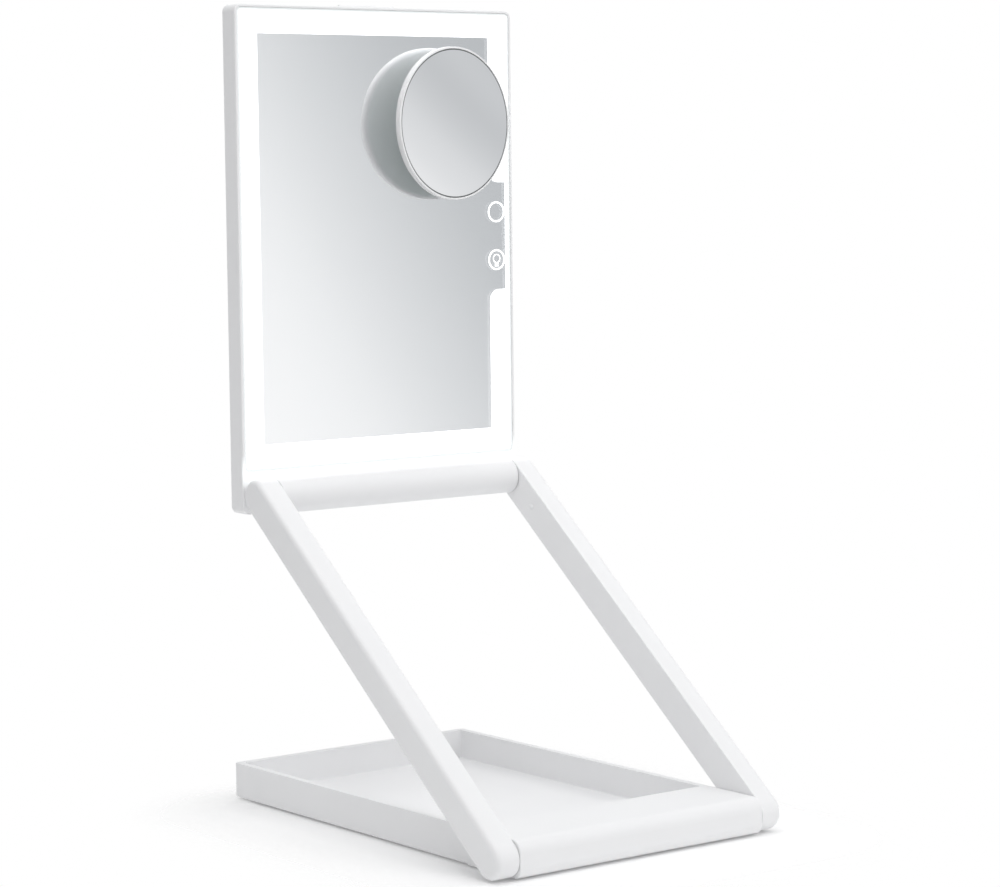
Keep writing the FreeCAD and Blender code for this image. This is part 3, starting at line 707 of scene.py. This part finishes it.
class MIRROR_OT_touch_marks(bpy.types.Operator):
    """Draws the two touch rings and the lamp sign as lit lines in the silvering"""
    bl_idname = "makeup_mirror.touch_marks"
    bl_label = "Touch marks"

    proud = 0.06 * MM
    deep = 0.1 * MM

    # The lamp sign in shares of its ring's radius
    bulb_radius = 0.475
    bulb_rise = 0.12
    sign_line = 0.09
    cap_half = 0.26
    sign_steps = 40

    # Drop of the cap below the bulb's middle, in bulb radii, and pitch of its two bars, in lines
    cap_drop = 1.12
    bar_pitch = 2.2
    bars = 2

    def execute(self, context):
        touch = context.scene.mirror_touch
        glass = context.scene.mirror_glass
        at = glass_places()
        x = at["right"] - touch.from_edge
        middle = (at["tab_low"] + at["tab_high"]) / 2.0
        upper, lower = middle + touch.pitch / 2.0, middle - touch.pitch / 2.0
        radius = touch.ring_diameter / 2.0
        half = touch.stroke / 2.0
        light = lit_material("mark_light", glass.glow, glass.mark_strength)
        front, back = at["silver_front"] - self.proud, at["silver_front"] + self.deep
        for name, z in (("touch_ring_upper", upper), ("touch_ring_lower", lower)):
            outlines = [circle_outline(x, z, radius + half), circle_outline(x, z, radius - half)]
            head_plate(name, outlines, front, back, light)
        head_plate("lamp_sign", self.lamp_outlines(x, lower, radius), front, back, light)
        return {"FINISHED"}

    def lamp_outlines(self, x, z, radius):
        """A round bulb with its cap below, as a line drawing."""
        bulb = radius * self.bulb_radius
        line = radius * self.sign_line
        centre = z + radius * self.bulb_rise
        cap = radius * self.cap_half
        cap_top = centre - bulb * self.cap_drop
        shapes = [circle_outline(x, centre, bulb, self.sign_steps),
                  circle_outline(x, centre, bulb - line, self.sign_steps)]
        for bar in range(self.bars):
            top = cap_top - bar * line * self.bar_pitch
            shapes.append([Vector((x - cap, top)), Vector((x - cap, top - line)),
                           Vector((x + cap, top - line)), Vector((x + cap, top))])
        return shapes


class MIRROR_OT_magnifier(bpy.types.Operator):
    """Builds the concave mirror of the magnifier and the dark edge of its glass, darkened partly as painted
    shade of the gap at its rim
    """
    bl_idname = "makeup_mirror.magnifier"
    bl_label = "Magnifier"

    edge_width = 0.6 * MM
    edge_drop = 0.2 * MM
    curve_radius = 900.0 * MM
    rings = 14
    mirror_crease = 30.0
    edge_crease = 20.0

    # Share of the radius beyond which a vertex counts as at the left or right side
    side_share = 0.97

    def execute(self, context):
        centre, facing, radius, thickness = self.seat()
        clear = radius - self.edge_width
        front, back = thickness / 2.0, -thickness / 2.0
        profile = [(0.0, back), (clear, back)]
        for ring in range(self.rings, -1, -1):
            r = clear * ring / self.rings
            hollow = (radius ** 2 - r ** 2) / (2.0 * self.curve_radius)
            profile.append((r, front - hollow))
        mesh = lathe_mesh("magnifier_mirror", profile)
        smooth(mesh, self.mirror_crease)
        edge = [(clear, back), (radius, back), (radius, front - self.edge_drop), (clear, front)]
        rim = lathe_mesh("magnifier_glass_edge", edge)
        smooth(rim, self.edge_crease)
        stand = Matrix.Translation(centre) @ facing
        mesh.transform(stand)
        rim.transform(stand)
        silver = bpy.data.materials["silvered_glass"]
        piece = add_piece("magnifier_mirror", mesh, silver, "magnifier")
        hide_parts("magnifier_glass")
        # A dark ring at the glass's edge, partly painted shade of the gap at the rim
        dark = finish_material("glass_edge_and_gap_shade")
        add_piece("magnifier_glass_edge", rim, dark, "magnifier")
        return {"FINISHED"}

    def seat(self):
        """Middle, turn, radius and thickness of the CAD glass, from its own vertices."""
        places = [v.co.copy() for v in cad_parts["magnifier_glass"].data.vertices]
        middle = (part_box("magnifier_glass")[0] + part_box("magnifier_glass")[1]) / 2.0
        radius = max(place.z for place in places) - middle.z
        left = [place for place in places if place.x < middle.x - radius * self.side_share]
        right = [place for place in places if place.x > middle.x + radius * self.side_share]
        across = sum(right, Vector()) / len(right) - sum(left, Vector()) / len(left)
        turn = math.atan2(across.y, across.x)
        outward = Vector((math.sin(turn), -math.cos(turn), 0.0))
        reach = [(place - middle).dot(outward) for place in places]
        thickness = max(reach) - min(reach)
        centre = middle + outward * (max(reach) + min(reach)) / 2.0
        return centre, Matrix.Rotation(turn, 4, "Z"), radius, thickness


class MIRROR_OT_stage(bpy.types.Operator):
    """Sets the floor, the lamps, the surroundings and the camera"""
    bl_idname = "makeup_mirror.stage"
    bl_label = "Stage"

    # The floor fades out round the base, a little earlier at the back
    floor_size = 1.4
    floor_colour = (0.95, 0.95, 0.95, 1)
    floor_roughness = 0.9
    fade_from = 12.0 * MM
    fade_to = 85.0 * MM
    back_margin = 40.0 * MM

    # Places of the lamps in metres, and the sides of their squares
    key_place = (0.75, -1.15, 0.95)
    key_side = 0.9
    top_place = (-0.15, -0.35, 1.6)
    top_side = 1.3
    back_place = (0.75, 0.7, 1.05)
    back_side = 0.7

    # Even light on the surfaces
    daylight = (0.985, 0.99, 1.0, 1)

    # The cards that the mirrors show: grey by heading in degrees, from card_start over card_reach,
    # a little blue where darker
    card_start = math.radians(-150.0)
    card_reach = math.radians(180.0)
    card_cool = 0.06
    card_tones = (
        (-150.0, 0.80), (-110.0, 0.62), (-85.0, 0.78), (-68.0, 1.0), (-60.0, 1.0), (-57.0, 0.865),
        (-54.0, 0.61), (-50.0, 0.51), (-46.0, 0.54), (-42.0, 0.60), (-38.0, 0.575), (-34.0, 0.685),
        (-30.0, 0.79), (-26.0, 0.90), (-10.0, 0.97), (30.0, 0.8),
    )

    # Lean of the cards with the height, by heading, and the heights over which they even out
    lean_headings = (math.radians(-52.0), math.radians(-43.0))
    lean_amounts = (0.5, 2.5)
    even_heights = (math.radians(24.0), math.radians(48.0))
    even_grey = (0.84, 0.85, 0.86, 1)

    sensor_width = 36.0

    def execute(self, context):
        scene = context.scene
        scene.view_settings.view_transform = "Standard"
        self.floor(scene.mirror_stage)
        self.lamps(scene.mirror_stage)
        self.surroundings(scene, scene.mirror_stage)
        self.camera(scene, scene.mirror_stage)
        return {"FINISHED"}

    def floor(self, stage):
        """Flat white table top that the mirrors don't see."""
        shape = bmesh.new()
        bmesh.ops.create_grid(shape, x_segments=1, y_segments=1, size=self.floor_size / 2.0)
        mesh = bpy.data.meshes.new("floor")
        shape.to_mesh(mesh)
        shape.free()
        mesh.materials.append(self.floor_material(stage))
        floor = bpy.data.objects.new("floor", mesh)
        bpy.context.scene.collection.objects.link(floor)
        floor.visible_glossy = False

    def floor_material(self, stage):
        """White that the camera sees only near the base, and only from above."""
        material, tree, shader = new_material("floor_white")
        shader.inputs["Base Color"].default_value = self.floor_colour
        shader.inputs["Roughness"].default_value = self.floor_roughness
        shader.inputs["Specular IOR Level"].default_value = 0.0
        shader.inputs["Emission Color"].default_value = WHITE
        seen = tree.nodes.new("ShaderNodeLightPath").outputs["Is Camera Ray"]
        lift = map_range(tree, seen, to_low=stage.floor_bounce, to_high=stage.floor_lift)
        tree.links.new(lift, shader.inputs["Emission Strength"])
        away = self.distance_from_base(tree)
        near = map_range(tree, away, self.fade_from, self.fade_to, 1.0, 0.0, eased=True)
        below = tree.nodes.new("ShaderNodeNewGeometry").outputs["Backfacing"]
        shown = combine(tree, "MULTIPLY", combine(tree, "SUBTRACT", 1.0, below), near)
        tree.links.new(map_range(tree, seen, to_low=1.0, to_high=shown), shader.inputs["Alpha"])
        return material

    def distance_from_base(self, tree):
        """Distance of a floor point from the base's footprint, which ends a little early at the back."""
        low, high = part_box("base_tray")
        high = Vector((high.x, high.y - self.back_margin, high.z))
        middle = (low + high) / 2.0
        half = (high - low) / 2.0
        value = tree.nodes.new("ShaderNodeTexCoord").outputs["Object"]
        for operation, amount in (("SUBTRACT", (middle.x, middle.y, 0.0)), ("ABSOLUTE", None),
                                  ("SUBTRACT", (half.x, half.y, 1.0)), ("MAXIMUM", (0.0, 0.0, 0.0))):
            step = tree.nodes.new("ShaderNodeVectorMath")
            step.operation = operation
            if amount:
                step.inputs[1].default_value = amount
            tree.links.new(value, step.inputs[0])
            value = step.outputs["Vector"]
        away = tree.nodes.new("ShaderNodeVectorMath")
        away.operation = "LENGTH"
        tree.links.new(value, away.inputs[0])
        return away.outputs["Value"]

    def lamps(self, stage):
        """Three soft lamps."""
        self.lamp("key_lamp", self.key_place, self.key_side, stage.key_power)
        self.lamp("top_lamp", self.top_place, self.top_side, stage.top_power)
        self.lamp("back_lamp", self.back_place, self.back_side, stage.back_power)

    def lamp(self, name, place, side, power):
        """Square lamp aimed at the middle of the mirror, which the mirrors don't see."""
        data = bpy.data.lights.new(name, "AREA")
        data.shape = "SQUARE"
        data.size = side
        data.energy = power
        lamp = bpy.data.objects.new(name, data)
        middle = (CAD_BOX[0] + CAD_BOX[1]) / 2.0
        lamp.location = place
        lamp.rotation_euler = (middle - Vector(place)).to_track_quat("-Z", "Y").to_euler()
        lamp.visible_glossy = False
        bpy.context.scene.collection.objects.link(lamp)

    def surroundings(self, scene, stage):
        """White for the camera, an even light for the surfaces, soft grey cards for the mirrors."""
        world = bpy.data.worlds.new("studio")
        scene.world = world
        world.use_nodes = True
        tree = world.node_tree
        background = tree.nodes["Background"]
        path = tree.nodes.new("ShaderNodeLightPath").outputs
        seen = path["Is Camera Ray"]
        mirrored = combine(tree, "MAXIMUM", path["Is Glossy Ray"], path["Is Transmission Ray"])
        strength = map_range(tree, combine(tree, "MAXIMUM", mirrored, seen), to_low=stage.ambient)
        even = mix_colours(tree, seen, self.daylight, WHITE)
        tone = mix_colours(tree, mirrored, even, self.cards(tree))
        tree.links.new(strength, background.inputs["Strength"])
        tree.links.new(tone, background.inputs["Color"])

    def cards(self, tree):
        """Bright cards either side of a grey gap, leaning with the height, even well above and below."""
        place = axis_parts(tree, "Generated")
        heading = combine(tree, "ARCTAN2", place["Y"], place["X"])
        height = combine(tree, "ARCSINE", place["Z"])
        lean = map_range(tree, heading, *self.lean_headings, *self.lean_amounts)
        leaning = combine(tree, "ADD", heading, combine(tree, "MULTIPLY", height, lean))
        across = combine(tree, "SUBTRACT", leaning, self.card_start)
        stops = []
        for degrees, tone in self.card_tones:
            position = (math.radians(degrees) - self.card_start) / self.card_reach
            cool = self.card_cool * (1.0 - tone)
            stops.append((position, (tone * (1.0 - cool), tone, tone * (1.0 + cool), 1.0)))
        grey = colour_ramp(tree, combine(tree, "DIVIDE", across, self.card_reach), stops, "CARDINAL")
        steep = map_range(tree, combine(tree, "ABSOLUTE", height), *self.even_heights, eased=True)
        return mix_colours(tree, steep, grey, self.even_grey)

    def camera(self, scene, stage):
        """Camera at the photograph's angle."""
        heading, pitch, roll = stage.camera_turn
        level = math.cos(pitch)
        forward = Vector((math.sin(heading) * level, math.cos(heading) * level, math.sin(pitch)))
        right = forward.cross(UP).normalized()
        above = right.cross(forward)
        side = math.cos(roll) * right + math.sin(roll) * above
        top = -math.sin(roll) * right + math.cos(roll) * above
        data = bpy.data.cameras.new("camera")
        data.lens = stage.lens
        data.sensor_width = self.sensor_width
        camera = bpy.data.objects.new("camera", data)
        camera.matrix_world = Matrix((
            (side.x, top.x, -forward.x, stage.camera_place[0]),
            (side.y, top.y, -forward.y, stage.camera_place[1]),
            (side.z, top.z, -forward.z, stage.camera_place[2]),
            (0.0, 0.0, 0.0, 1.0)))
        scene.collection.objects.link(camera)
        scene.camera = camera


SETTINGS = {
    "mirror_shell": ShellSettings,
    "mirror_glass": GlassSettings,
    "mirror_touch": TouchSettings,
    "mirror_stage": StageSettings,
}
OPERATORS = (
    MIRROR_OT_shells, MIRROR_OT_inner_parts, MIRROR_OT_glass, MIRROR_OT_touch_marks,
    MIRROR_OT_magnifier, MIRROR_OT_stage,
)


class MIRROR_PT_panel(bpy.types.Panel):
    """Lists the steps that dress the mirror, and their settings"""
    bl_idname = "MIRROR_PT_panel"
    bl_label = "Makeup Mirror"
    bl_space_type = "VIEW_3D"
    bl_region_type = "UI"
    bl_category = "Makeup Mirror"

    def draw(self, context):
        for operator in OPERATORS:
            self.layout.operator(operator.bl_idname)
        for group in SETTINGS:
            settings = getattr(context.scene, group)
            box = self.layout.box()
            for name in settings.bl_rna.properties.keys():
                if name not in ("rna_type", "name"):
                    box.prop(settings, name)


CLASSES = (*SETTINGS.values(), *OPERATORS, MIRROR_PT_panel)


def register():
    for entry in CLASSES:
        bpy.utils.register_class(entry)
    for name, group in SETTINGS.items():
        setattr(bpy.types.Scene, name, bpy.props.PointerProperty(type=group))


def unregister():
    for name in SETTINGS:
        delattr(bpy.types.Scene, name)
    for entry in reversed(CLASSES):
        bpy.utils.unregister_class(entry)


def main():
    """Dresses the mirror step by step."""
    register()
    bpy.ops.makeup_mirror.shells()
    bpy.ops.makeup_mirror.inner_parts()
    bpy.ops.makeup_mirror.glass()
    bpy.ops.makeup_mirror.touch_marks()
    bpy.ops.makeup_mirror.magnifier()
    bpy.ops.makeup_mirror.stage()


if __name__ == "__main__":
    main()
